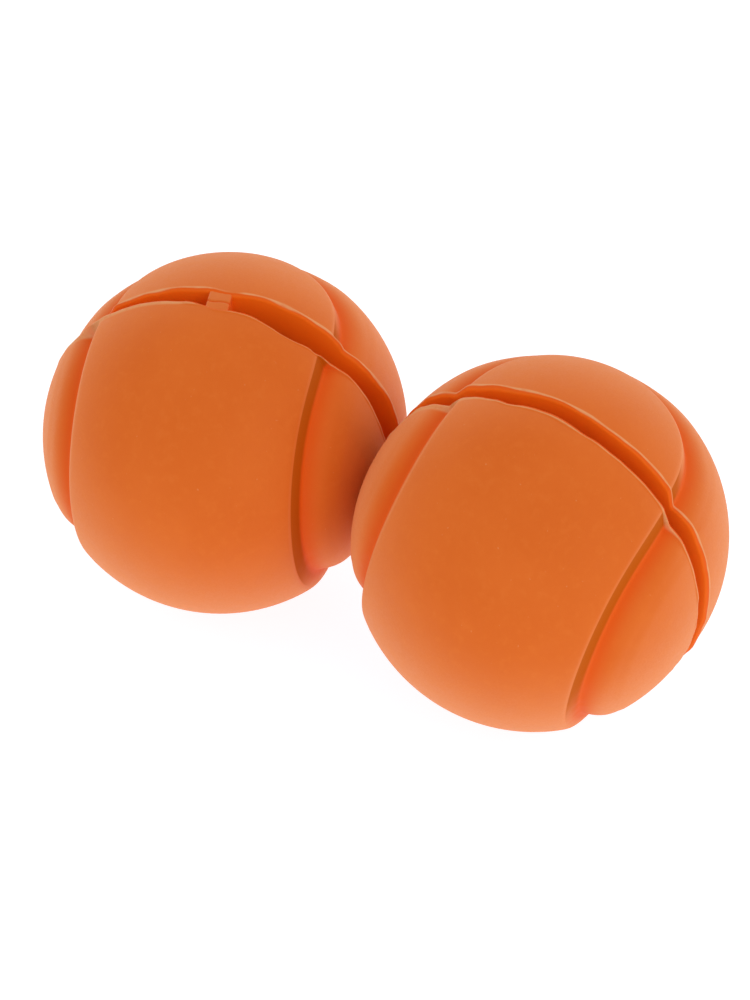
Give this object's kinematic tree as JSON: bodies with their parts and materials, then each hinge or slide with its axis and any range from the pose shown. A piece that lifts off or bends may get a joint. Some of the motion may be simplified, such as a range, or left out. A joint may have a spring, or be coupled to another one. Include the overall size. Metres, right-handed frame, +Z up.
{
  "type": "hinged rubber ball pair",
  "caption": "Hollow rubber massage balls lying side by side, each split into grooved half shells joined by a short live hinge strap.",
  "frame": {"origin": "on the floor, midway between the two balls, at the middle of the pair's box", "axes": "+Z up, +X from the left ball's side to the right ball's side along the line through both balls, -Y is the side that both front halves face"},
  "size_m": [0.1301, 0.0692, 0.0653],
  "materials": {
    "shell_rubber": "matte moulded rubber, lightly dusty",
    "strap_rubber": "matte moulded rubber, creased across the middle"
  },
  "bodies": {
    "left_ball": {"left_ball_front_half": "shell_rubber", "left_ball_hinge_strap": "strap_rubber"},
    "left_back": {"left_ball_back_half": "shell_rubber"},
    "right_strap": {"right_ball_hinge_strap": "strap_rubber"},
    "right_front": {"right_ball_front_half": "shell_rubber"},
    "right_back": {"right_ball_back_half": "shell_rubber"}
  },
  "joints": [
    {"name": "left_ball_opening", "type": "hinge", "parent": "left_ball", "child": "left_back", "pos_m": [-0.03265, -0.00318, 0.06502], "axis": [0.9662, 0.2568, 0.0208], "range_deg": [0, 150], "stiffness_Nm_per_rad": 0.12, "springref_deg": 3.44},
    {"name": "right_strap_rise", "type": "slide", "parent": "left_ball", "child": "right_strap", "axis": [0, 0, 1], "range_m": [-0.001, 0.029]},
    {"name": "right_ball_opening", "type": "hinge", "parent": "right_strap", "child": "right_back", "pos_m": [0.02573, 0.00236, 0.00091], "axis": [-0.9786, -0.0028, 0.2057], "range_deg": [-1, 75], "stiffness_Nm_per_rad": 0.12},
    {"name": "right_front_opening", "type": "hinge", "parent": "right_strap", "child": "right_front", "pos_m": [0.02573, 0.00236, 0.00091], "axis": [0.9786, 0.0028, -0.2057], "range_deg": [-1, 75], "stiffness_Nm_per_rad": 0.12}
  ],
  "couplings": [
    {"joint": "right_front_opening", "follows": "right_ball_opening", "ratio": 1},
    {"joint": "right_strap_rise", "follows": "right_ball_opening", "m_per_rad": 0.0219}
  ]
}
